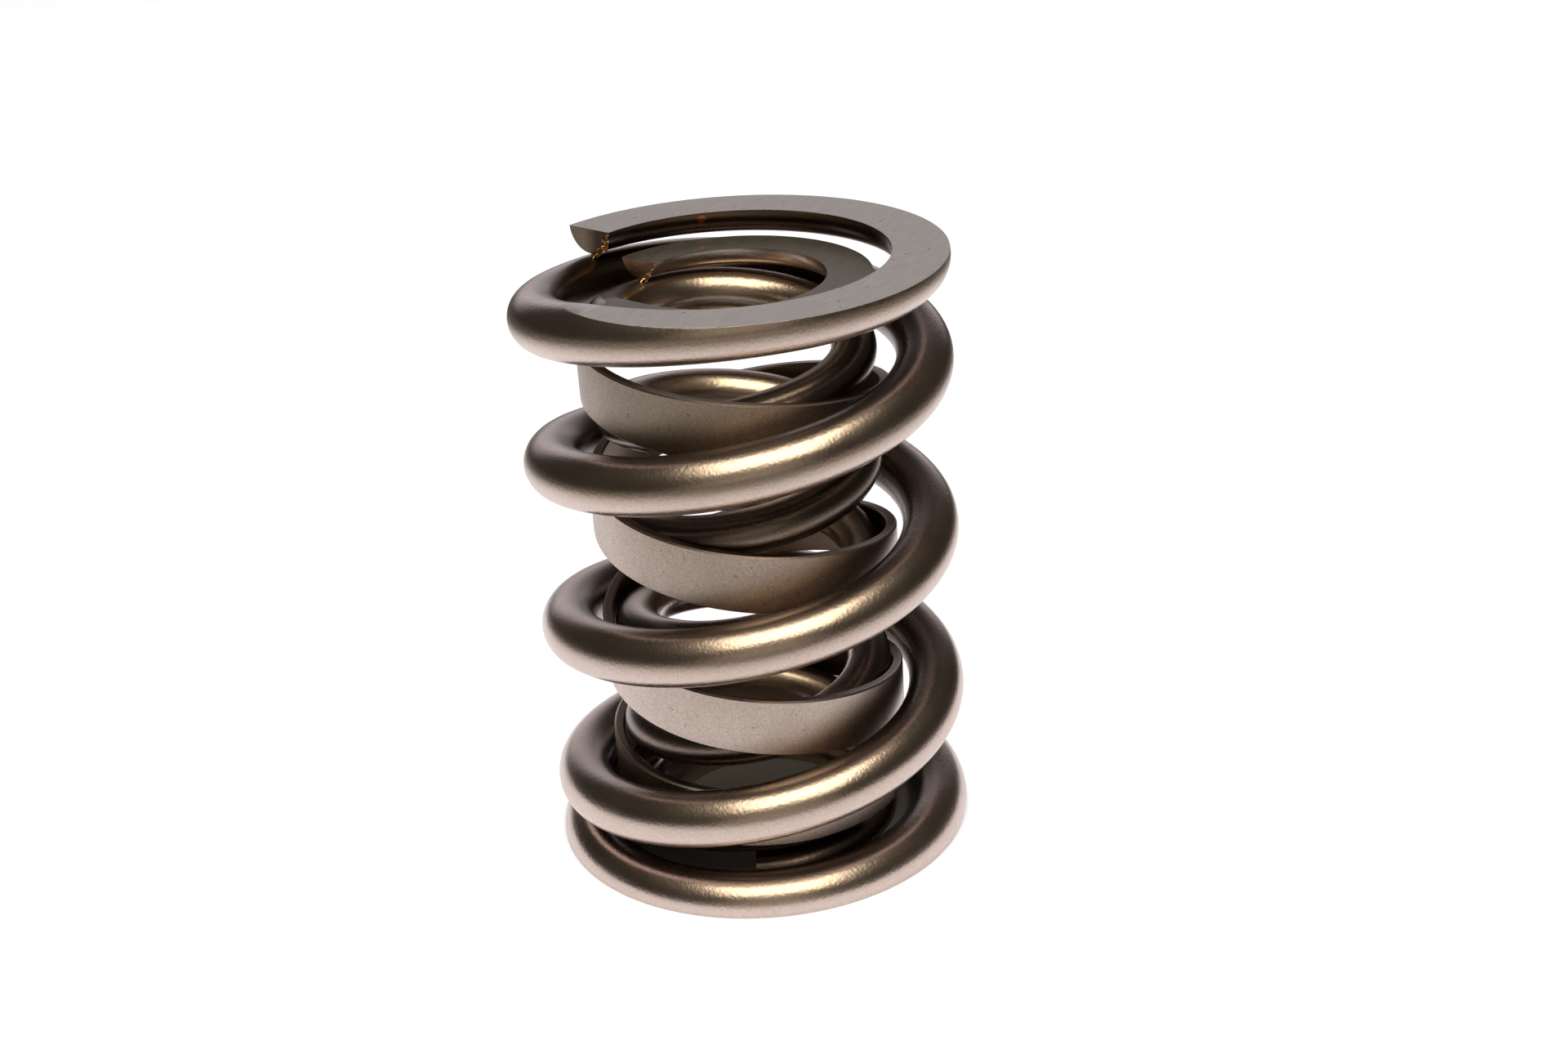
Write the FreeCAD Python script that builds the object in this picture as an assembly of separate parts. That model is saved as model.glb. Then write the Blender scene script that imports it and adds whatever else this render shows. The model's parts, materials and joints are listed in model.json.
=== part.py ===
import FreeCAD, Part
import math
import os

# A dual valve spring with a flat damper between its two coils: an outer spring of round wire,
# a ribbon damper wound the other way inside it, and an inner spring of round wire inside that.
# Millimetres. +Z runs along the coils, and the origin is the centre of the lower seat.

# Outer spring, wound right-handed
OUTER_COIL_DIAMETER = 39.4
OUTER_WIRE = 5.15
OUTER_FREE_LENGTH = 56.0
OUTER_TURNS = 5.0
OUTER_TOP_TIP_ANGLE = 137.0
OUTER_TIP_SHARE = 0.46
OUTER_CLIMB_START = 0.6

# Damper, wound left-handed from flat ribbon. The lift is its lower edge above the seat. Free
# length and turns are those of a ribbon with matching ends; the upper end stops short of that
# by the trim, counted in turns.
DAMPER_THICKNESS = 1.0
DAMPER_WIDTH = 5.5
DAMPER_FREE_LENGTH = 48.1
DAMPER_LIFT = 3.65
DAMPER_TURNS = 3.95
DAMPER_TOP_ANGLE = 349.0
DAMPER_TOP_TRIM = 0.1
DAMPER_CORNER = 0.15
DAMPER_END_RATE = 0.1
DAMPER_EASE_TURNS = 1.05

# Inner spring, wound right-handed
INNER_WIRE = 4.1
INNER_FREE_LENGTH = 54.0
INNER_TURNS = 6.65
INNER_TOP_TIP_ANGLE = 138.0
INNER_TIP_SHARE = 0.42
INNER_CLIMB_START = 0.68

# Radial clearances between the three pieces
OUTER_TO_DAMPER_CLEARANCE = 0.55
DAMPER_TO_INNER_CLEARANCE = 0.12

# Closed and ground ends: the first turn lies almost flat, climbs one wire onto the next and
# only then takes up the open pitch. Starts and ends are counted in turns from the tip, the lead
# in wires and the gap in millimetres. A tip share is how much of the wire grinding leaves there.
CLIMB_END = 1.0
OPEN_START = 0.9
OPEN_END = 1.28
CLOSED_LEAD = 0.35
CLOSED_GAP = 0.08

STEPS_PER_TURN = 6
TANGENT_STEP = 0.0001
RIBBON_POINTS_PER_TURN = 16
SWEEP_SEGMENTS = 400


def ease(share):
    """Rise smoothly from 0 to 1 as share goes from 0 to 1."""
    share = min(max(share, 0.0), 1.0)
    return share * share * (3.0 - 2.0 * share)


def eased_travel(turn, start, end):
    """Length travelled by a rate that eases from 0 at start to 1 at end and then stays."""
    share = min(max((turn - start) / (end - start), 0.0), 1.0)
    return (end - start) * (share ** 3 - share ** 4 / 2.0) + max(turn - end, 0.0)


class RoundWireSpring:
    """A compression spring of round wire with closed and ground ends."""

    def __init__(self, coil_radius, wire, free_length, turns, top_tip_angle, tip_share, climb_start):
        self.coil_radius = coil_radius
        self.wire_radius = wire / 2.0
        self.tip_height = (tip_share - 0.5) * wire
        self.climb_start = climb_start
        self.free_length = free_length
        self.turns = turns
        self.bottom_tip_angle = top_tip_angle - 360.0 * turns
        self.lead = wire * CLOSED_LEAD
        self.climb = wire + CLOSED_GAP - self.lead
        half_turns = turns / 2.0
        closed_rise = self.tip_height + self.lead + self.climb
        open_turns = eased_travel(half_turns, OPEN_START, OPEN_END)
        self.open_pitch = (free_length / 2.0 - closed_rise) / open_turns

    def rise(self, turn):
        """Height of the wire's centre above the seat, at a number of turns from that seat's tip."""
        flat = self.lead * min(turn, CLIMB_END) / CLIMB_END
        climbed = self.climb * ease((turn - self.climb_start) / (CLIMB_END - self.climb_start))
        opened = self.open_pitch * eased_travel(turn, OPEN_START, OPEN_END)
        return self.tip_height + flat + climbed + opened

    def centre(self, turn):
        """Centre of the wire at a number of turns from the lower tip."""
        if turn < self.turns / 2.0:
            height = self.rise(turn)
        else:
            height = self.free_length - self.rise(self.turns - turn)
        angle = math.radians(self.bottom_tip_angle + 360.0 * turn)
        return FreeCAD.Vector(self.coil_radius * math.cos(angle), self.coil_radius * math.sin(angle), height)

    def direction(self, turn):
        """Direction of the wire at a number of turns from the lower tip."""
        return self.centre(turn + TANGENT_STEP).sub(self.centre(turn - TANGENT_STEP)).normalize()

    def section(self):
        """The wire's outline at the lower tip, with its seam outwards, well clear of both seats."""
        along = self.direction(0.0)
        outward = along.cross(FreeCAD.Vector(0, 0, 1)).normalize()
        circle = Part.makeCircle(self.wire_radius)
        facing = FreeCAD.Rotation(outward, along.cross(outward), along, "ZXY")
        circle.Placement = FreeCAD.Placement(self.centre(0.0), facing)
        return Part.Wire(circle)

    def solid(self):
        """The wire swept along its coil, ground flat at both seats."""
        steps = round(self.turns * STEPS_PER_TURN)
        turns = [self.turns * step / steps for step in range(steps + 1)]
        stations = [(self.centre(turn), self.direction(turn)) for turn in turns]
        wire_solid = path_of_arcs(stations).makePipeShell([self.section()], True, True)
        return ground(wire_solid, self.coil_radius + 2.0 * self.wire_radius, self.free_length)


def arc_leaving(start, direction, end):
    """The arc that leaves start along direction and ends at end."""
    chord = end.sub(start)
    inward = direction.cross(chord).cross(direction).normalize()
    radius = chord.Length ** 2 / (2.0 * chord.dot(inward))
    centre = start + inward * radius
    outward = ((start + end) * 0.5).sub(centre).normalize()
    return Part.Arc(start, centre + outward * radius, end)


def two_arcs(start, start_direction, end, end_direction):
    """Two arcs that run from start to end, tangent to both directions and to each other."""
    chord = end.sub(start)
    across = chord.dot(start_direction + end_direction)
    spread = 2.0 * (1.0 - start_direction.dot(end_direction))
    reach = (math.sqrt(across ** 2 + spread * chord.dot(chord)) - across) / spread
    near = start + start_direction * reach
    far = end - end_direction * reach
    meeting = (near + far) * 0.5
    return [
        arc_leaving(start, start_direction, meeting),
        arc_leaving(meeting, far.sub(near).normalize(), end),
    ]


def path_of_arcs(stations):
    """A smooth path of arcs through stations, each a point and the direction there."""
    arcs = []
    for (start, start_direction), (end, end_direction) in zip(stations, stations[1:]):
        arcs += two_arcs(start, start_direction, end, end_direction)
    return Part.Wire([arc.toShape() for arc in arcs])


def sweep_upright(points, section):
    """Sweep a section along the points with its upright kept parallel to the coil's axis."""
    spine = Part.BSplineCurve()
    spine.interpolate(points)
    shell = Part.BRepOffsetAPI.MakePipeShell(Part.Wire(spine.toShape()))
    shell.setMaxSegments(SWEEP_SEGMENTS)
    shell.setBiNormalMode(FreeCAD.Vector(0, 0, 1))
    shell.add(section, False, False)
    shell.build()
    shell.makeSolid()
    return shell.shape()


def ground(shape, reach, height):
    """Grind away all that stands below zero or above a height, out to a reach from the axis."""
    below = Part.makeBox(2.0 * reach, 2.0 * reach, reach, FreeCAD.Vector(-reach, -reach, -reach))
    above = Part.makeBox(2.0 * reach, 2.0 * reach, reach, FreeCAD.Vector(-reach, -reach, height))
    return shape.cut(below).cut(above)


class RibbonDamper:
    """The flat ribbon, wound the other way to the springs and gripped between them above the seat."""

    def __init__(self, outer_radius):
        self.middle_radius = outer_radius - DAMPER_THICKNESS / 2.0
        half_travel = self.travel(DAMPER_TURNS / 2.0)
        self.pitch = (DAMPER_FREE_LENGTH - DAMPER_WIDTH) / 2.0 / half_travel

    def travel(self, turn):
        """Turns' worth of pitch gained at a number of turns from an end; slower near the end."""
        eased = eased_travel(turn, 0.0, DAMPER_EASE_TURNS)
        return DAMPER_END_RATE * turn + (1.0 - DAMPER_END_RATE) * eased

    def centre(self, turn):
        """Middle of the ribbon at a number of turns down from its untrimmed upper end."""
        lowest = DAMPER_LIFT + DAMPER_WIDTH / 2.0
        if turn < DAMPER_TURNS / 2.0:
            height = lowest + DAMPER_FREE_LENGTH - DAMPER_WIDTH - self.pitch * self.travel(turn)
        else:
            height = lowest + self.pitch * self.travel(DAMPER_TURNS - turn)
        angle = math.radians(DAMPER_TOP_ANGLE + 360.0 * turn)
        return FreeCAD.Vector(self.middle_radius * math.cos(angle), self.middle_radius * math.sin(angle), height)

    def section(self):
        """The ribbon's outline at its upper end, with its corners broken."""
        start = self.centre(DAMPER_TOP_TRIM)
        outward = FreeCAD.Vector(start.x, start.y, 0).normalize()
        upright = FreeCAD.Vector(0, 0, 1)
        half_thick = DAMPER_THICKNESS / 2.0
        half_wide = DAMPER_WIDTH / 2.0
        corners = []
        for across, up, across_first in ((1, 1, False), (-1, 1, True), (-1, -1, False), (1, -1, True)):
            on_side = (across * half_thick, up * (half_wide - DAMPER_CORNER))
            on_edge = (across * (half_thick - DAMPER_CORNER), up * half_wide)
            corners += [on_edge, on_side] if across_first else [on_side, on_edge]
        points = [start + outward * out + upright * up for out, up in corners]
        return Part.makePolygon(points + points[:1])

    def solid(self):
        """The ribbon swept down its coil, with square ends."""
        length = DAMPER_TURNS - DAMPER_TOP_TRIM
        steps = round(length * RIBBON_POINTS_PER_TURN)
        points = [self.centre(DAMPER_TOP_TRIM + length * step / steps) for step in range(steps + 1)]
        return sweep_upright(points, self.section())


def build():
    outer_coil_radius = (OUTER_COIL_DIAMETER - OUTER_WIRE) / 2.0
    damper_outer_radius = outer_coil_radius - OUTER_WIRE / 2.0 - OUTER_TO_DAMPER_CLEARANCE
    inner_coil_radius = damper_outer_radius - DAMPER_THICKNESS - DAMPER_TO_INNER_CLEARANCE - INNER_WIRE / 2.0
    outer = RoundWireSpring(
        outer_coil_radius, OUTER_WIRE, OUTER_FREE_LENGTH, OUTER_TURNS,
        OUTER_TOP_TIP_ANGLE, OUTER_TIP_SHARE, OUTER_CLIMB_START,
    )
    inner = RoundWireSpring(
        inner_coil_radius, INNER_WIRE, INNER_FREE_LENGTH, INNER_TURNS,
        INNER_TOP_TIP_ANGLE, INNER_TIP_SHARE, INNER_CLIMB_START,
    )
    return {
        "outer_spring": outer.solid(),
        "flat_damper": RibbonDamper(damper_outer_radius).solid(),
        "inner_spring": inner.solid(),
    }


os.makedirs("parts", exist_ok=True)
for node, shape in build().items():
    print(node, "valid", shape.isValid(), "volume", round(shape.Volume, 1), shape.BoundBox)
    shape.exportStep("parts/" + node + ".step")
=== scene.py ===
"""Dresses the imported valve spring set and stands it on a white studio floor.

The set is two coils of round wire, one inside the other, with a flat ribbon damper between them.
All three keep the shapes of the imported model. This script gives them their finishes, adds the
burrs that grinding leaves at the upper wire tips, and sets up the floor, the room, the lamp and
the camera.
"""

import json
import logging
import math
from dataclasses import dataclass
from enum import Enum

import bmesh
import bpy
from mathutils import Matrix, Vector

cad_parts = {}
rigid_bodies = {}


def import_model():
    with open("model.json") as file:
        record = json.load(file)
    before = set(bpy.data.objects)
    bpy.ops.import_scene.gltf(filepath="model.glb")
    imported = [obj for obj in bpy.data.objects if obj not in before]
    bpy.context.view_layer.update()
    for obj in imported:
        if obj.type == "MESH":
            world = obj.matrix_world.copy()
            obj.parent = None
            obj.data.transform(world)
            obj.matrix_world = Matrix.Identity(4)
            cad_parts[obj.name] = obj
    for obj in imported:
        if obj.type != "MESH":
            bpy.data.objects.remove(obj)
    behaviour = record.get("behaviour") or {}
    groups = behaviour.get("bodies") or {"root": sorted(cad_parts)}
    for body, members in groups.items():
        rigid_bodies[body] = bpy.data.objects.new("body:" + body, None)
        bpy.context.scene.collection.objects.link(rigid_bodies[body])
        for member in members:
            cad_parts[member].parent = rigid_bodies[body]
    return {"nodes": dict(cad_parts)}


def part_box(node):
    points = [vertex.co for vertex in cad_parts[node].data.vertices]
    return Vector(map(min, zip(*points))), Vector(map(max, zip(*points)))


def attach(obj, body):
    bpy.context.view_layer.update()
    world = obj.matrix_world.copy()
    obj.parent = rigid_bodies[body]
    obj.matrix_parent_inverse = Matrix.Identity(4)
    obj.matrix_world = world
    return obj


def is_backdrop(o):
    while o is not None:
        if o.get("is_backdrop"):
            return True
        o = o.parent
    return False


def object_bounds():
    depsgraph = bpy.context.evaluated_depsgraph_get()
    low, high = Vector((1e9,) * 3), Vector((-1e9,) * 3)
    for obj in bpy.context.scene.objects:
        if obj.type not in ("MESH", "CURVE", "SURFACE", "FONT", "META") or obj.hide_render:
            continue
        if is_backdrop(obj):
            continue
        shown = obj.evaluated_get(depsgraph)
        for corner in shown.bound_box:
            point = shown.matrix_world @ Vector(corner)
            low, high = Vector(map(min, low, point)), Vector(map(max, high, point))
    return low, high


LOG = logging.getLogger("valve_spring")

MM = 0.001

Colour = tuple[float, float, float]
Point = tuple[float, float, float]
Range = tuple[float, float]
Material = bpy.types.Material
NodeTree = bpy.types.NodeTree
Socket = bpy.types.NodeSocket


def rgba(colour: Colour) -> tuple[float, float, float, float]:
    """Give a colour its full alpha."""
    return (*colour, 1.0)


class Shader:
    """A node material in the making, with short calls for the nodes that the finishes share.

    PLAIN, FINE and RICH are octaves of detail for a noise pattern.
    """

    PLAIN = 1.0
    FINE = 2.0
    RICH = 3.0

    def __init__(self, name: str) -> None:
        """Start an empty material with a Principled shader.

        Args:
            name: The material's name.
        """
        self.material = bpy.data.materials.new(name)
        self.material.use_nodes = True
        self.tree: NodeTree = self.material.node_tree
        self.tree.nodes.clear()
        self.surface = self.tree.nodes.new("ShaderNodeBsdfPrincipled")
        output = self.tree.nodes.new("ShaderNodeOutputMaterial")
        self.link(self.surface.outputs["BSDF"], output.inputs["Surface"])
        self.place = self.tree.nodes.new("ShaderNodeTexCoord").outputs["Object"]

    def link(self, source: Socket, target: Socket) -> None:
        """Join an output to an input."""
        self.tree.links.new(source, target)

    def noise(
        self,
        grain: float,
        detail: float = FINE,
        stretch: float = 1.0,
        turn: float = 0.0,
        warp: float = 0.0,
    ) -> Socket:
        """Make a noise pattern on the piece's own coordinates.

        Args:
            grain: Size of one grain in metres.
            detail: Octaves of finer noise.
            stretch: How many times longer than wide a grain is, along the pattern's own X.
            turn: Angle of that X from the piece's own, about Z.
            warp: How far the grains are pushed about, in grains.

        Returns:
            The pattern's value, from 0 to 1.
        """
        mapping = self.tree.nodes.new("ShaderNodeMapping")
        mapping.vector_type = "TEXTURE"
        mapping.inputs["Scale"].default_value = (grain * stretch, grain, grain)
        mapping.inputs["Rotation"].default_value = (0.0, 0.0, turn)
        texture = self.tree.nodes.new("ShaderNodeTexNoise")
        texture.inputs["Scale"].default_value = 1.0
        texture.inputs["Detail"].default_value = detail
        texture.inputs["Distortion"].default_value = warp
        self.link(self.place, mapping.inputs["Vector"])
        self.link(mapping.outputs["Vector"], texture.inputs["Vector"])
        return texture.outputs["Fac"]

    def dimples(self, width: float) -> Socket:
        """Make the shallow round dints of shot peening.

        Args:
            width: Width of one dint in metres.

        Returns:
            Distance from the middle of each dint, from 0 up.
        """
        texture = self.tree.nodes.new("ShaderNodeTexVoronoi")
        texture.feature = "SMOOTH_F1"
        texture.inputs["Scale"].default_value = 1.0 / width
        self.link(self.place, texture.inputs["Vector"])
        return texture.outputs["Distance"]

    def spread(self, value: Socket, across: Range, onto: Range = (0.0, 1.0)) -> Socket:
        """Stretch a range of values onto another, and clamp it there.

        Args:
            value: The value to stretch.
            across: The range that it is taken from.
            onto: What the ends of that range become.

        Returns:
            The stretched value.
        """
        node = self.tree.nodes.new("ShaderNodeMapRange")
        for name, number in zip(("From Min", "From Max", "To Min", "To Max"), across + onto):
            node.inputs[name].default_value = number
        self.link(value, node.inputs["Value"])
        return node.outputs["Result"]

    def calculate(self, operation: str, first: Socket, second: Socket | float) -> Socket:
        """Put two values through one math operation.

        Args:
            operation: The math node's operation.
            first: The first value.
            second: The second value, as a socket or a number.

        Returns:
            The result.
        """
        node = self.tree.nodes.new("ShaderNodeMath")
        node.operation = operation
        self.link(first, node.inputs[0])
        if isinstance(second, float):
            node.inputs[1].default_value = second
        else:
            self.link(second, node.inputs[1])
        return node.outputs["Value"]

    def blend(self, share: Socket, first: Socket | Colour, second: Socket | Colour) -> Socket:
        """Mix two colours.

        Args:
            share: How much of the second colour shows, from 0 to 1.
            first: The first colour.
            second: The second colour.

        Returns:
            The mixed colour.
        """
        node = self.tree.nodes.new("ShaderNodeMix")
        node.data_type = "RGBA"
        self.link(share, node.inputs["Factor"])
        self.fill(node.inputs["A"], first)
        self.fill(node.inputs["B"], second)
        return node.outputs["Result"]

    def choose(self, share: Socket, first: Socket, second: Socket) -> Socket:
        """Mix two plain values.

        Args:
            share: How much of the second value counts, from 0 to 1.
            first: The first value.
            second: The second value.

        Returns:
            The mixed value.
        """
        node = self.tree.nodes.new("ShaderNodeMix")
        self.link(share, node.inputs["Factor"])
        self.link(first, node.inputs["A"])
        self.link(second, node.inputs["B"])
        return node.outputs["Result"]

    def fill(self, socket: Socket, colour: Socket | Colour) -> None:
        """Give a colour input a fixed colour or another node's.

        Args:
            socket: The input to fill.
            colour: The colour, or the output that gives it.
        """
        if isinstance(colour, tuple):
            socket.default_value = rgba(colour)
        else:
            self.link(colour, socket)

    def height(self) -> Socket:
        """Find the height above the lower seat.

        Returns:
            The height in metres.
        """
        split = self.tree.nodes.new("ShaderNodeSeparateXYZ")
        self.link(self.place, split.inputs["Vector"])
        return split.outputs["Z"]

    def from_axis(self) -> Socket:
        """Find the distance from the coils' axis.

        Returns:
            The distance in metres.
        """
        flat = self.tree.nodes.new("ShaderNodeVectorMath")
        flat.operation = "MULTIPLY"
        flat.inputs[1].default_value = (1.0, 1.0, 0.0)
        length = self.tree.nodes.new("ShaderNodeVectorMath")
        length.operation = "LENGTH"
        self.link(self.place, flat.inputs[0])
        self.link(flat.outputs["Vector"], length.inputs[0])
        return length.outputs["Value"]

    def distance(self, point: Point) -> Socket:
        """Find the distance from a point.

        Args:
            point: The point, on the piece's own coordinates.

        Returns:
            The distance in metres.
        """
        node = self.tree.nodes.new("ShaderNodeVectorMath")
        node.operation = "DISTANCE"
        node.inputs[1].default_value = point
        self.link(self.place, node.inputs[0])
        return node.outputs["Value"]

    def bump(self, height: Socket, depth: float, strength: float) -> None:
        """Raise the surface by a height pattern.

        Args:
            height: The pattern, where 1 is raised by the full depth.
            depth: How deep the pattern is, in metres.
            strength: How much of it shows, from 0 to 1.
        """
        node = self.tree.nodes.new("ShaderNodeBump")
        node.inputs["Distance"].default_value = depth
        node.inputs["Strength"].default_value = strength
        self.link(height, node.inputs["Height"])
        self.link(node.outputs["Normal"], self.surface.inputs["Normal"])

    def metal(self, colour: Socket, roughness: Socket) -> None:
        """Make the surface a bare metal.

        Args:
            colour: The metal's colour.
            roughness: The metal's roughness, from 0 to 1.
        """
        self.link(colour, self.surface.inputs["Base Color"])
        self.link(roughness, self.surface.inputs["Roughness"])
        self.surface.inputs["Metallic"].default_value = 1.0


@dataclass(frozen=True)
class PeenedWire:
    """Shot-peened spring wire with ends ground flat, and painted shade, a darker tone, on the
    side to the axis.

    Attributes:
        name: The material's name.
        top: Height of the upper seat.
        coil: Radius of the coil, to the middle of its wire.
        steel: The peened metal.
        shade: Darker grains in it.
        axis_side_painted_shade: Painted shade: a darker tone of the peened metal on the side that
            faces the axis.
        painted_shade_turnover: Where that painted shade ends, measured outwards from the wire's
            middle.
        ground: A ground face.
        ground_shade: Darker lines on it.
        pit: Pits in it.
        pit_spacing: How far apart the pits are.
        pit_edge: Noise values between which a pit begins.
        pit_strength: How much a pit's colour shows, outside it and in it.
        rust: A small orange spot.
        rust_at: Where the spot lies.
        rust_size: Radii that the spot fades between.
        grain: Size of the peened metal's grains.
        grain_warp: How far those grains are pushed about, in grains.
        grain_edge: Noise values between which a grain turns from dark to pale.
        line: Width of a grinding line.
        line_stretch: How many times longer than wide the line is.
        line_turn: Direction of the lines, from X.
        line_edge: Noise values between which a line turns from dark to pale.
        patch: Size of the patches whose gloss differs.
        gloss_edge: Noise values that the roughness runs between.
        satin_roughness: Roughness of the peened metal.
        ground_roughness: Roughness of the ground faces.
        dint: Width of a dint.
        dint_edge: Distances, in dints, from a dint's floor to its rim.
        depth: Depth of the dints and lines.
        relief: How much of that depth shows, from 0 to 1.
        seat_skin: Depth of metal that counts as lying in a seat's plane.
    """

    name: str
    top: float
    coil: float
    steel: Colour = (0.66, 0.54, 0.485)
    shade: Colour = (0.54, 0.435, 0.385)
    axis_side_painted_shade: Colour = (0.17, 0.125, 0.10)
    painted_shade_turnover: Range = (-0.9 * MM, 0.9 * MM)
    ground: Colour = (0.83, 0.80, 0.82)
    ground_shade: Colour = (0.65, 0.62, 0.64)
    pit: Colour = (0.20, 0.16, 0.14)
    pit_spacing: float = 0.7 * MM
    pit_edge: Range = (0.72, 0.76)
    pit_strength: Range = (0.0, 0.8)
    rust: Colour = (0.90, 0.30, 0.10)
    rust_at: Point = (-2.07 * MM, 14.5 * MM, 55.3 * MM)
    rust_size: Range = (0.25 * MM, 0.5 * MM)
    grain: float = 0.18 * MM
    grain_warp: float = 1.5
    grain_edge: Range = (0.36, 0.64)
    line: float = 0.11 * MM
    line_stretch: float = 22.0
    line_turn: float = math.radians(52.0)
    line_edge: Range = (0.35, 0.65)
    patch: float = 6.0 * MM
    gloss_edge: Range = (0.3, 0.7)
    satin_roughness: Range = (0.26, 0.31)
    ground_roughness: Range = (0.46, 0.6)
    dint: float = 0.3 * MM
    dint_edge: Range = (0.0, 0.6)
    depth: float = 0.01 * MM
    relief: float = 0.8
    seat_skin: float = 0.03 * MM

    def seats(self, shader: Shader) -> Socket:
        """Find the ground faces: all that lies in the plane of either seat.

        Args:
            shader: The material being made.

        Returns:
            1 on a ground face and 0 elsewhere.
        """
        height = shader.height()
        upper = shader.calculate("GREATER_THAN", height, self.top - self.seat_skin)
        lower = shader.calculate("LESS_THAN", height, self.seat_skin)
        return shader.calculate("MAXIMUM", upper, lower)

    def peened_colour_and_painted_shade(self, shader: Shader) -> Socket:
        """Colour the peened metal, with painted shade on the side to the axis.

        Args:
            shader: The material being made.

        Returns:
            The colour.
        """
        speckle = shader.noise(self.grain, warp=self.grain_warp)
        outward = shader.blend(shader.spread(speckle, self.grain_edge), self.shade, self.steel)
        # Painted shade: the wire nearer the axis than these radii takes the darker colour.
        edge = (self.coil + self.painted_shade_turnover[0], self.coil + self.painted_shade_turnover[1])
        return shader.blend(shader.spread(shader.from_axis(), edge), self.axis_side_painted_shade, outward)

    def ground_colour(self, shader: Shader, lines: Socket) -> Socket:
        """Colour the ground faces, with their lines and pits.

        Args:
            shader: The material being made.
            lines: The pattern of the grinding lines.

        Returns:
            The colour.
        """
        lined = shader.blend(shader.spread(lines, self.line_edge), self.ground_shade, self.ground)
        spots = shader.noise(self.pit_spacing, detail=Shader.PLAIN)
        pits = shader.spread(spots, self.pit_edge, self.pit_strength)
        return shader.blend(pits, lined, self.pit)

    def make(self) -> Material:
        """Build the material.

        Returns:
            The material.
        """
        shader = Shader(self.name)
        seats = self.seats(shader)
        lines = shader.noise(self.line, stretch=self.line_stretch, turn=self.line_turn)
        patches = shader.noise(self.patch, detail=Shader.RICH)

        steel = shader.blend(seats, self.peened_colour_and_painted_shade(shader), self.ground_colour(shader, lines))
        rusty = shader.spread(shader.distance(self.rust_at), self.rust_size, (1.0, 0.0))
        satin = shader.spread(patches, self.gloss_edge, self.satin_roughness)
        bare = shader.spread(lines, self.gloss_edge, self.ground_roughness)
        shader.metal(shader.blend(rusty, steel, self.rust), shader.choose(seats, satin, bare))

        dints = shader.spread(shader.dimples(self.dint), self.dint_edge)
        shader.bump(shader.choose(seats, dints, lines), self.depth, self.relief)
        return shader.material


@dataclass(frozen=True)
class RolledRibbon:
    """Satin flat-rolled spring ribbon, with painted shade on its edges and on the side that faces
    the axis.

    Attributes:
        name: The material's name.
        outside: Radius of the ribbon's outer face.
        steel: The rolled metal.
        shade: Darker grains in it.
        axis_side_painted_shade: Painted shade: a darker tone of the metal on the edges and on the
            side that faces the axis.
        painted_shade_skin: Where the outer face ends and the painted shade begins, measured
            outwards from its radius.
        stain: Small dark flecks.
        stain_spacing: How far apart the flecks are.
        stain_edge: Noise values between which a fleck begins.
        stain_strength: How much a fleck's colour shows, outside it and in it.
        grain: Size of the metal's grains.
        grain_edge: Noise values between which a grain turns from dark to pale.
        patch: Size of the patches whose gloss differs.
        gloss_edge: Noise values that the roughness runs between.
        roughness: Roughness of the metal.
        depth: Depth of the grains.
        relief: How much of that depth shows, from 0 to 1.
    """

    name: str
    outside: float
    steel: Colour = (0.68, 0.57, 0.52)
    shade: Colour = (0.52, 0.43, 0.38)
    axis_side_painted_shade: Colour = (0.22, 0.16, 0.12)
    painted_shade_skin: Range = (-0.3 * MM, -0.15 * MM)
    stain: Colour = (0.34, 0.26, 0.20)
    stain_spacing: float = 0.6 * MM
    stain_edge: Range = (0.7, 0.76)
    stain_strength: Range = (0.0, 0.7)
    grain: float = 0.16 * MM
    grain_edge: Range = (0.36, 0.64)
    patch: float = 5.0 * MM
    gloss_edge: Range = (0.3, 0.7)
    roughness: Range = (0.34, 0.42)
    depth: float = 0.008 * MM
    relief: float = 0.5

    def make(self) -> Material:
        """Build the material.

        Returns:
            The material.
        """
        shader = Shader(self.name)
        speckle = shader.noise(self.grain)
        patches = shader.noise(self.patch, detail=Shader.RICH)
        spots = shader.noise(self.stain_spacing, detail=Shader.PLAIN)
        flecks = shader.spread(spots, self.stain_edge, self.stain_strength)
        rolled = shader.blend(shader.spread(speckle, self.grain_edge), self.shade, self.steel)
        stained = shader.blend(flecks, rolled, self.stain)
        # Painted shade: everything nearer the axis than the outer face, the edges included, takes
        # the darker colour.
        edge = (self.outside + self.painted_shade_skin[0], self.outside + self.painted_shade_skin[1])
        colour = shader.blend(shader.spread(shader.from_axis(), edge), self.axis_side_painted_shade, stained)
        shader.metal(colour, shader.spread(patches, self.gloss_edge, self.roughness))
        shader.bump(speckle, self.depth, self.relief)
        return shader.material


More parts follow.
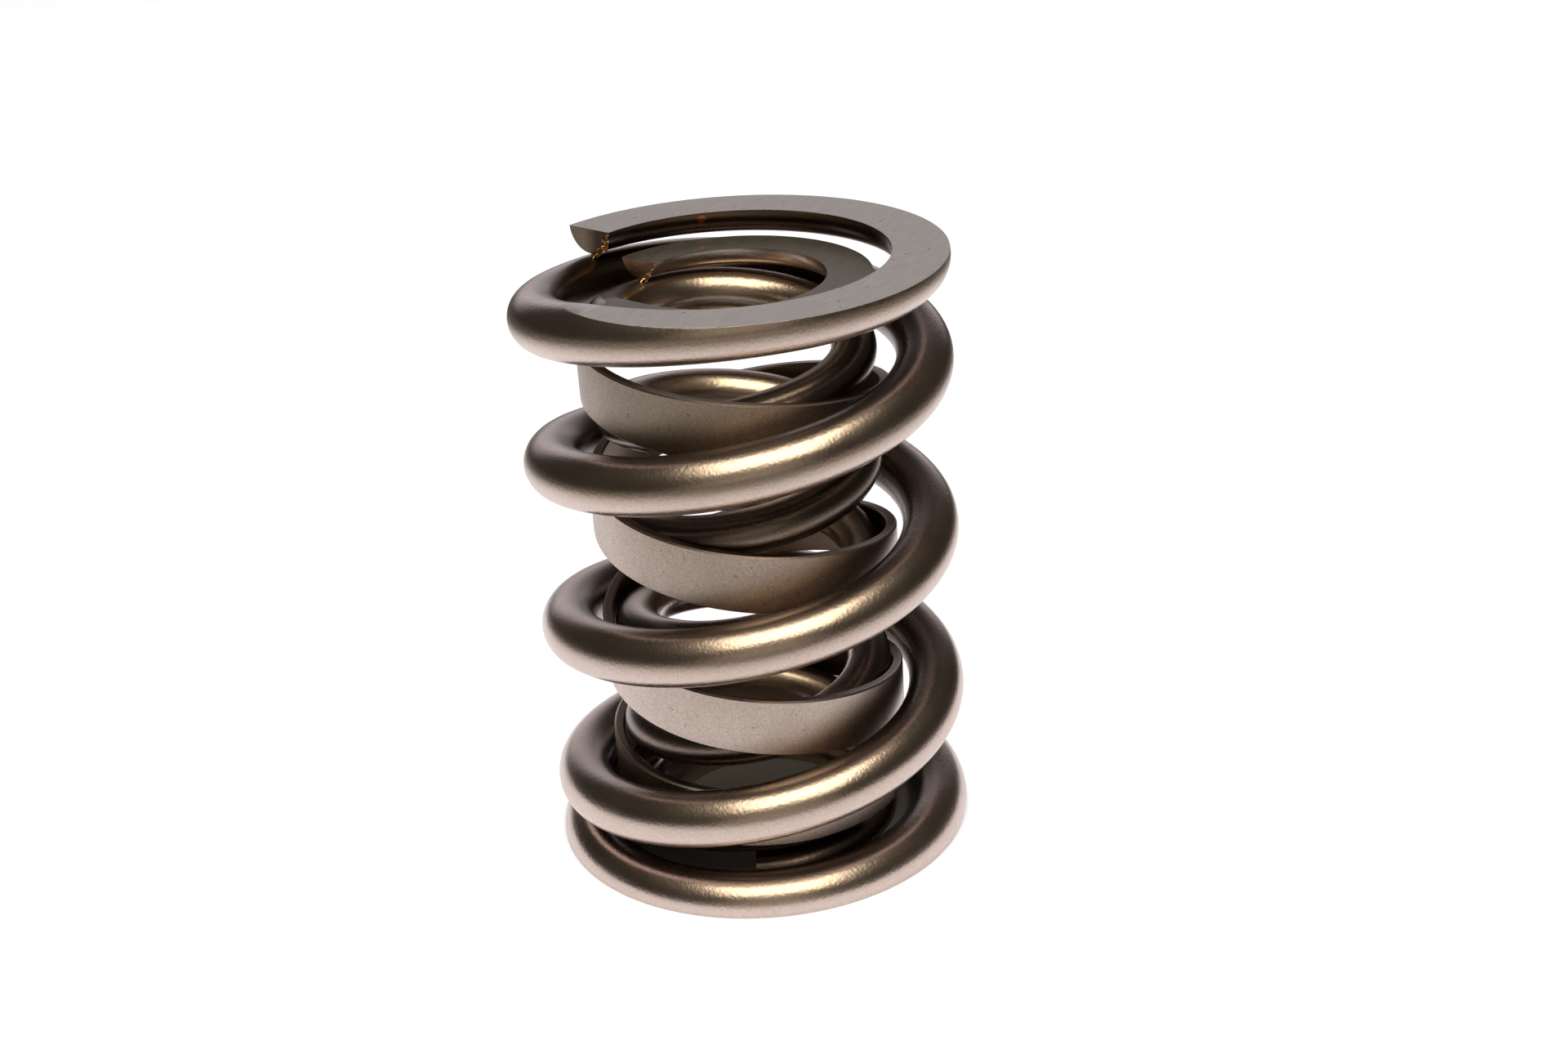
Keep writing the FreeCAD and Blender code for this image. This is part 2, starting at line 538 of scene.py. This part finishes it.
@dataclass(frozen=True)
class BurrMetal:
    """Bright torn steel, heated straw and brown by the grinding.

    Attributes:
        name: The material's name.
        straw: The paler heat colour.
        brown: The darker heat colour.
        grain: Size of the mottles.
        grain_edge: Noise values between which brown turns to straw.
        gloss_edge: Noise values that the roughness runs between.
        roughness: Roughness of the brown and of the straw metal.
        depth: Depth of the mottles.
        relief: How much of that depth shows, from 0 to 1.
    """

    name: str
    straw: Colour = (0.90, 0.66, 0.32)
    brown: Colour = (0.30, 0.14, 0.07)
    grain: float = 0.35 * MM
    grain_edge: Range = (0.4, 0.6)
    gloss_edge: Range = (0.3, 0.7)
    roughness: Range = (0.4, 0.2)
    depth: float = 0.03 * MM
    relief: float = 0.6

    def make(self) -> Material:
        """Build the material.

        Returns:
            The material.
        """
        shader = Shader(self.name)
        mottle = shader.noise(self.grain, detail=Shader.RICH)
        colour = shader.blend(shader.spread(mottle, self.grain_edge), self.brown, self.straw)
        shader.metal(colour, shader.spread(mottle, self.gloss_edge, self.roughness))
        shader.bump(mottle, self.depth, self.relief)
        return shader.material


class SmoothShading:
    """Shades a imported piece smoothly, but leaves its sharp edges.

    The piece's stored normals go, because they no longer fit once its triangles are welded.
    """

    def __init__(self, sharpest: float = math.radians(32.0), weld: float = 0.02 * MM) -> None:
        """Build the shared modifier's nodes.

        Args:
            sharpest: Angle past which an edge stays sharp.
            weld: Distance within which corners become one.
        """
        self.weld = weld
        self.tree = bpy.data.node_groups.new("smooth_shading", "GeometryNodeTree")
        for way in ("INPUT", "OUTPUT"):
            self.tree.interface.new_socket(
                "Geometry", in_out=way, socket_type="NodeSocketGeometry",
            )
        start = self.tree.nodes.new("NodeGroupInput")
        end = self.tree.nodes.new("NodeGroupOutput")
        stored = self.tree.nodes.new("GeometryNodeRemoveAttribute")
        stored.inputs["Name"].default_value = "custom_normal"
        faces = self.tree.nodes.new("GeometryNodeSetShadeSmooth")
        edges = self.tree.nodes.new("GeometryNodeSetShadeSmooth")
        edges.domain = "EDGE"
        edges.inputs["Shade Smooth"].default_value = False
        angle = self.tree.nodes.new("GeometryNodeInputMeshEdgeAngle")
        over = self.tree.nodes.new("FunctionNodeCompare")
        over.inputs["B"].default_value = sharpest
        for source, target in (
            (start.outputs[0], stored.inputs["Geometry"]),
            (stored.outputs["Geometry"], faces.inputs["Geometry"]),
            (faces.outputs["Geometry"], edges.inputs["Geometry"]),
            (angle.outputs["Unsigned Angle"], over.inputs["A"]),
            (over.outputs["Result"], edges.inputs["Selection"]),
            (edges.outputs["Geometry"], end.inputs[0]),
        ):
            self.tree.links.new(source, target)

    def put_on(self, piece: bpy.types.Object) -> None:
        """Weld the piece's loose triangles and shade them.

        Args:
            piece: The piece to shade.
        """
        weld = piece.modifiers.new("weld", "WELD")
        weld.merge_threshold = self.weld
        shading = piece.modifiers.new("shading", "NODES")
        shading.node_group = self.tree


@dataclass(frozen=True)
class Flake:
    """One flake of a burr.

    Attributes:
        around: Where it grows on the end face's rim, as an angle down from the coil's inner side.
        length: How far it reaches out.
        width: How wide it is at its root.
        lean: How far it leans off the wire, up to 1, or below 0 back over the end face.
        curl: How far its end curls down, as a share of its length.
    """

    around: float
    length: float
    width: float
    lean: float
    curl: float


@dataclass(frozen=True)
class WireTip:
    """The upper tip of a round-wire spring.

    Attributes:
        node: The spring's node.
        slot: The spring's material slot; not used.
        burr: Name of the burr on the tip.
        wire: Diameter of the wire.
        angle: Where the tip lies, from +X towards +Y.
        share: Share of the wire that grinding leaves there.
        flakes: The burr's flakes.
    """

    node: str
    slot: str
    burr: str
    wire: float
    angle: float
    share: float
    flakes: tuple[Flake, ...]

    def coil(self) -> float:
        """Radius of the coil, to the middle of its wire."""
        return outer_radius(self.node) - self.wire / 2.0


def outer_radius(node: str) -> float:
    """Radius of a piece, to its outer side."""
    low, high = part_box(node)
    return (high.x - low.x) / 2.0


def top_of(node: str) -> float:
    """Height of a piece's top."""
    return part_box(node)[1].z


@dataclass(frozen=True)
class TipBurr:
    """The torn flakes that grinding leaves on the rim of a wire's upper tip.

    Attributes:
        tip: The tip that it grows on.
        thickness: How thick a flake is.
        sunk: Share of a flake's length that lies inside the wire.
        ragged: How much a flake's length varies, as a share.
        ripple_along: How fast that varies from the root to the end.
        ripple_across: How fast it varies from side to side.
        ripple_shift: How much it differs from flake to flake.
        taper: Power by which a flake narrows towards its end.
        narrowest: Least width, as a share of the root's.
        arch: How far the sides hang below the middle, as a share of the length.
        lengthwise: Grid steps along a flake.
        crosswise: Grid steps across it.
    """

    tip: WireTip
    thickness: float = 0.07 * MM
    sunk: float = 0.12
    ragged: float = 0.22
    ripple_along: float = 9.0
    ripple_across: float = 5.0
    ripple_shift: float = 40.0
    taper: float = 1.6
    narrowest: float = 0.12
    arch: float = 0.25
    lengthwise: int = 6
    crosswise: int = 3

    def add_flake(self, mesh: bmesh.types.BMesh, flake: Flake) -> None:
        """Grow one curled, ragged flake from the rim.

        Args:
            mesh: The burr's mesh so far.
            flake: The flake to add.
        """
        tip = self.tip
        outward = Vector((math.cos(tip.angle), math.sin(tip.angle), 0.0))
        onward = Vector((-outward.y, outward.x, 0.0))
        upward = Vector((0.0, 0.0, 1.0))
        centre_height = top_of(tip.node) + (0.5 - tip.share) * tip.wire
        away = outward * -math.cos(flake.around) - upward * math.sin(flake.around)
        along_rim = onward.cross(away)
        rim = away * (tip.wire / 2.0 - self.thickness)
        root = outward * tip.coil() + upward * centre_height + rim
        reach = (onward * (1.0 - abs(flake.lean)) + away * flake.lean).normalized()
        shift = self.ripple_shift * flake.around
        grid = bmesh.ops.create_grid(
            mesh, x_segments=self.lengthwise, y_segments=self.crosswise, size=0.5,
        )
        for vertex in grid["verts"]:
            share = vertex.co.x + 0.5 - self.sunk
            side = vertex.co.y
            ripple = math.sin(self.ripple_along * share + self.ripple_across * side + shift)
            width = flake.width * max(1.0 - max(share, 0.0) ** self.taper, self.narrowest)
            droop = flake.curl * share * share + self.arch * side * side
            vertex.co = (
                root
                + reach * (flake.length * share * (1.0 + self.ragged * ripple))
                + along_rim * (width * side)
                - upward * (flake.length * droop)
            )
        faces = list({face for vertex in grid["verts"] for face in vertex.link_faces})
        bmesh.ops.solidify(mesh, geom=faces, thickness=self.thickness)

    def make(self) -> bpy.types.Object:
        """Build the burr as a piece of the object, below the ground face.

        Returns:
            The burr.
        """
        name = self.tip.burr
        mesh = bmesh.new()
        for flake in self.tip.flakes:
            self.add_flake(mesh, flake)
        top = top_of(self.tip.node)
        for vertex in mesh.verts:
            vertex.co.z = min(vertex.co.z, top)
        bmesh.ops.recalc_face_normals(mesh, faces=mesh.faces)
        data = bpy.data.meshes.new(name)
        mesh.to_mesh(data)
        mesh.free()
        data.shade_smooth()
        burr = bpy.data.objects.new(name, data)
        bpy.context.scene.collection.objects.link(burr)
        burr.data.materials.append(BurrMetal(name + "_metal").make())
        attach(burr, "root")
        LOG.info("%s has %d flakes, %d faces", name, len(self.tip.flakes), len(data.polygons))
        return burr


@dataclass(frozen=True)
class ValveSpring:
    """The three nested pieces, as packed, with their finishes and the burrs at the wire tips.

    Attributes:
        nodes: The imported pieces, by node.
        outer: The outer spring's upper tip.
        inner: The inner spring's upper tip.
    """

    nodes: dict[str, bpy.types.Object]
    outer: WireTip = WireTip(
        node="outer_spring",
        slot="outer_steel",
        burr="outer_tip_burr",
        wire=5.15 * MM,
        angle=math.radians(137.0),
        share=0.46,
        flakes=(
            Flake(math.radians(9.0), 0.7 * MM, 1.0 * MM, 0.45, 0.5),
            Flake(math.radians(20.0), 0.6 * MM, 1.1 * MM, -0.5, 0.3),
            Flake(math.radians(33.0), 0.6 * MM, 1.2 * MM, 0.6, 0.6),
            Flake(math.radians(47.0), 0.8 * MM, 1.1 * MM, -0.3, 0.2),
            Flake(math.radians(60.0), 0.6 * MM, 1.2 * MM, 0.35, 0.3),
            Flake(math.radians(78.0), 0.7 * MM, 1.0 * MM, 0.2, 0.5),
        ),
    )
    inner: WireTip = WireTip(
        node="inner_spring",
        slot="inner_steel",
        burr="inner_tip_burr",
        wire=4.1 * MM,
        angle=math.radians(138.0),
        share=0.42,
        flakes=(
            Flake(math.radians(12.0), 0.6 * MM, 0.9 * MM, 0.5, 0.5),
            Flake(math.radians(40.0), 0.5 * MM, 1.0 * MM, -0.3, 0.3),
            Flake(math.radians(58.0), 0.5 * MM, 1.0 * MM, 0.4, 0.5),
            Flake(math.radians(80.0), 0.7 * MM, 0.7 * MM, 0.2, 0.5),
        ),
    )

    def finishes(self) -> dict[str, Material]:
        """Make the finish of each piece.

        Returns:
            The finishes, by node.
        """
        outer = PeenedWire("outer_steel_peened_painted_shade", top_of(self.outer.node), self.outer.coil())
        damper = RolledRibbon("damper_steel_satin_painted_shade", outer_radius("flat_damper"))
        inner = PeenedWire(
            "inner_steel_peened_painted_shade",
            top_of(self.inner.node),
            self.inner.coil(),
            # Painted shade: the inner spring's outer side and ground faces are much darker than
            # the outer spring's, for the shade inside the outer coil; its side to the axis keeps
            # a milder painted shade.
            steel=(0.27, 0.21, 0.18),
            shade=(0.20, 0.155, 0.13),
            axis_side_painted_shade=(0.58, 0.47, 0.40),
            ground=(0.36, 0.33, 0.30),
            ground_shade=(0.26, 0.24, 0.22),
            rust_at=(-2.2 * MM, 9.8 * MM, 54.0 * MM),
            rust_size=(0.0, 0.5 * MM),
        )
        return {
            self.outer.node: outer.make(),
            "flat_damper": damper.make(),
            self.inner.node: inner.make(),
        }

    def dress(self) -> None:
        """Give each piece its finish and smooth shading."""
        smooth = SmoothShading()
        for node, finish in self.finishes().items():
            piece = self.nodes[node]
            piece.data.materials.clear()
            piece.data.materials.append(finish)
            smooth.put_on(piece)
            LOG.info("%s dressed, top at %.2f mm", node, top_of(node) / MM)

    def add_burrs(self) -> None:
        """Add the burrs at the two upper wire tips."""
        for tip in (self.outer, self.inner):
            TipBurr(tip).make()


class Side(Enum):
    """Where a lamp stands, as a direction from the object."""

    OVERHEAD = (0.03, -0.42, 0.907)


@dataclass(frozen=True)
class Softbox:
    """A soft square lamp that faces the middle of the object.

    Attributes:
        name: The lamp's name.
        side: Where it stands.
        distance: How far off it stands.
        width: Width of its square face.
        power: Its power in watts.
        colour: Its colour.
    """

    name: str
    side: Side
    distance: float
    width: float
    power: float
    colour: Colour

    def place(self, target: Vector) -> None:
        """Hang the lamp and turn it to the target.

        Args:
            target: The point that the lamp faces.
        """
        lamp = bpy.data.lights.new(self.name, "AREA")
        lamp.shape = "SQUARE"
        lamp.size = self.width
        lamp.energy = self.power
        lamp.color = self.colour
        holder = bpy.data.objects.new(self.name, lamp)
        bpy.context.scene.collection.objects.link(holder)
        away = Vector(self.side.value).normalized()
        holder.location = target + away * self.distance
        holder.rotation_euler = away.to_track_quat("Z", "Y").to_euler()


@dataclass(frozen=True)
class Studio:
    """The white floor, the room around it and the lamp.

    Attributes:
        floor_width: Width of the square floor.
        floor_colour: The floor's own colour, in lamplight.
        floor_roughness: The floor's roughness.
        glow: What the camera and the metal see of the floor on top of that.
        painted_shadow_foot: Radii between which that glow begins; inside them its absence paints
            the shadow under the set and a thin contact shadow at its edge.
        painted_reflection_pool: Distances over which the metal sees the glow fade, a painted pool
            of light that only reflections show.
        painted_reflection_pool_middle: The point that those distances are measured from.
        room: Colour of the room at the sides.
        ahead: Colour of the room straight in front of the object.
        ahead_edge: Where that has faded to the room's, as the Y of a direction.
        behind: Colour of the room low behind the object.
        behind_edge: Where that begins and where it is full, as the Y of a direction.
        lamp: The lamp.
    """

    floor_width: float = 20.0
    floor_colour: Colour = (0.36, 0.36, 0.37)
    floor_roughness: float = 0.9
    glow: Colour = (0.92, 0.92, 0.97)
    painted_shadow_foot: Range = (18.0 * MM, 20.2 * MM)
    painted_reflection_pool: Range = (70.0 * MM, 170.0 * MM)
    painted_reflection_pool_middle: Point = (0.0, 50.0 * MM, 0.0)
    room: Colour = (0.035, 0.03, 0.024)
    ahead: Colour = (0.38, 0.33, 0.26)
    ahead_edge: float = -0.75
    behind: Colour = (0.85, 0.82, 0.87)
    behind_edge: Range = (0.8, 0.98)
    lamp: Softbox = Softbox(
        name="key",
        side=Side.OVERHEAD,
        distance=0.5,
        width=0.44,
        power=2.2,
        colour=(1.0, 0.9, 0.66),
    )

    def lay_floor(self) -> None:
        """Lay the floor that the set stands on."""
        bpy.ops.mesh.primitive_plane_add(size=self.floor_width)
        floor = bpy.context.object
        floor.name = "studio_floor"
        floor.data.materials.append(self.floor_paper())
        floor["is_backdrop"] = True

    def floor_paper(self) -> Material:
        """Make the floor's paper: white to the camera, and to the metal near the set in a painted
        pool of light, with a painted shadow under the set.

        Returns:
            The material.
        """
        shader = Shader("studio_paper")
        shader.fill(shader.surface.inputs["Base Color"], self.floor_colour)
        shader.surface.inputs["Roughness"].default_value = self.floor_roughness
        shader.surface.inputs["Emission Color"].default_value = rgba(self.glow)
        # Painted shadow: the glow is off under the set and fades in at its edge.
        outside_painted_shadow = shader.spread(shader.distance((0.0, 0.0, 0.0)), self.painted_shadow_foot)
        # Painted reflection: the metal sees the floor's glow only in a pool around the set.
        painted_reflection_pool = shader.spread(shader.distance(self.painted_reflection_pool_middle), self.painted_reflection_pool, (1.0, 0.0))
        path = shader.tree.nodes.new("ShaderNodeLightPath").outputs
        bounced = shader.calculate(
            "MAXIMUM", path["Is Glossy Ray"], path["Is Transmission Ray"],
        )
        mirrored = shader.calculate("MULTIPLY", bounced, painted_reflection_pool)
        seen = shader.calculate("MAXIMUM", path["Is Camera Ray"], mirrored)
        strength = shader.calculate("MULTIPLY", outside_painted_shadow, seen)
        shader.link(strength, shader.surface.inputs["Emission Strength"])
        return shader.material

    def paint_room(self) -> None:
        """Make the room dim, and paler straight in front of the object and low behind it."""
        world = bpy.data.worlds.new("studio_room")
        world.use_nodes = True
        bpy.context.scene.world = world
        tree = world.node_tree
        direction = tree.nodes.new("ShaderNodeTexCoord")
        split = tree.nodes.new("ShaderNodeSeparateXYZ")
        depth = tree.nodes.new("ShaderNodeMapRange")
        depth.inputs["From Min"].default_value = -1.0
        shades = tree.nodes.new("ShaderNodeValToRGB")
        shades.color_ramp.interpolation = "EASE"
        stops = shades.color_ramp.elements
        front, back = stops[0], stops[1]
        front.position = 0.0
        front.color = rgba(self.ahead)
        back.position = self.ramp_place(self.behind_edge[1])
        back.color = rgba(self.behind)
        for depth_edge in (self.ahead_edge, self.behind_edge[0]):
            stop = stops.new(self.ramp_place(depth_edge))
            stop.color = rgba(self.room)
        tree.links.new(direction.outputs["Generated"], split.inputs["Vector"])
        tree.links.new(split.outputs["Y"], depth.inputs["Value"])
        tree.links.new(depth.outputs["Result"], shades.inputs["Fac"])
        tree.links.new(shades.outputs["Color"], tree.nodes["Background"].inputs["Color"])

    @staticmethod
    def ramp_place(depth: float) -> float:
        """Place on the room's colour ramp, from 0 to 1, of a direction's Y, from -1 to 1."""
        return (1.0 + depth) / 2.0

    def set_up(self, target: Vector) -> None:
        """Lay the floor, paint the room and hang the lamp.

        Args:
            target: The point that the lamp faces.
        """
        self.lay_floor()
        self.paint_room()
        self.lamp.place(target)
        LOG.info("studio set up with the %s lamp", self.lamp.name)


@dataclass(frozen=True)
class ProductCamera:
    """The camera in front of the set, a little above it and slightly rolled.

    Attributes:
        behind: How far it stands in front of the coils' axis, along -Y.
        above: Its height above the floor.
        nearest: Distance within which it sees nothing.
        lens: Its focal length in millimetres.
        turn: How far it is turned from +Y towards +X.
        tilt: How far it looks down.
        roll: How far it is rolled about its own view.
    """

    behind: float = 184.71 * MM
    above: float = 111.52 * MM
    nearest: float = 10.0 * MM
    lens: float = 49.96
    turn: float = math.radians(1.102)
    tilt: float = math.radians(23.802)
    roll: float = math.radians(-3.718)

    def set_up(self) -> None:
        """Place the camera and make it the scene's own."""
        data = bpy.data.cameras.new("product_camera")
        data.lens = self.lens
        data.clip_start = self.nearest
        camera = bpy.data.objects.new("product_camera", data)
        bpy.context.scene.collection.objects.link(camera)
        stand = Matrix.Translation((0.0, -self.behind, self.above))
        turned = Matrix.Rotation(-self.turn, 4, "Z")
        tilted = Matrix.Rotation(math.pi / 2 - self.tilt, 4, "X")
        rolled = Matrix.Rotation(self.roll, 4, "Z")
        camera.matrix_world = stand @ turned @ tilted @ rolled
        bpy.context.scene.camera = camera


def main() -> None:
    """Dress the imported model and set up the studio."""
    logging.basicConfig(level=logging.INFO, format="%(name)s: %(message)s")
    for leftover in list(bpy.data.objects):
        bpy.data.objects.remove(leftover)
    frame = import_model()
    cad_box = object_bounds()
    spring = ValveSpring(frame["nodes"])
    spring.dress()
    spring.add_burrs()
    middle = (cad_box[0] + cad_box[1]) / 2
    Studio().set_up(middle)
    ProductCamera().set_up()
    bpy.context.scene.view_settings.view_transform = "Standard"


if __name__ == "__main__":
    main()
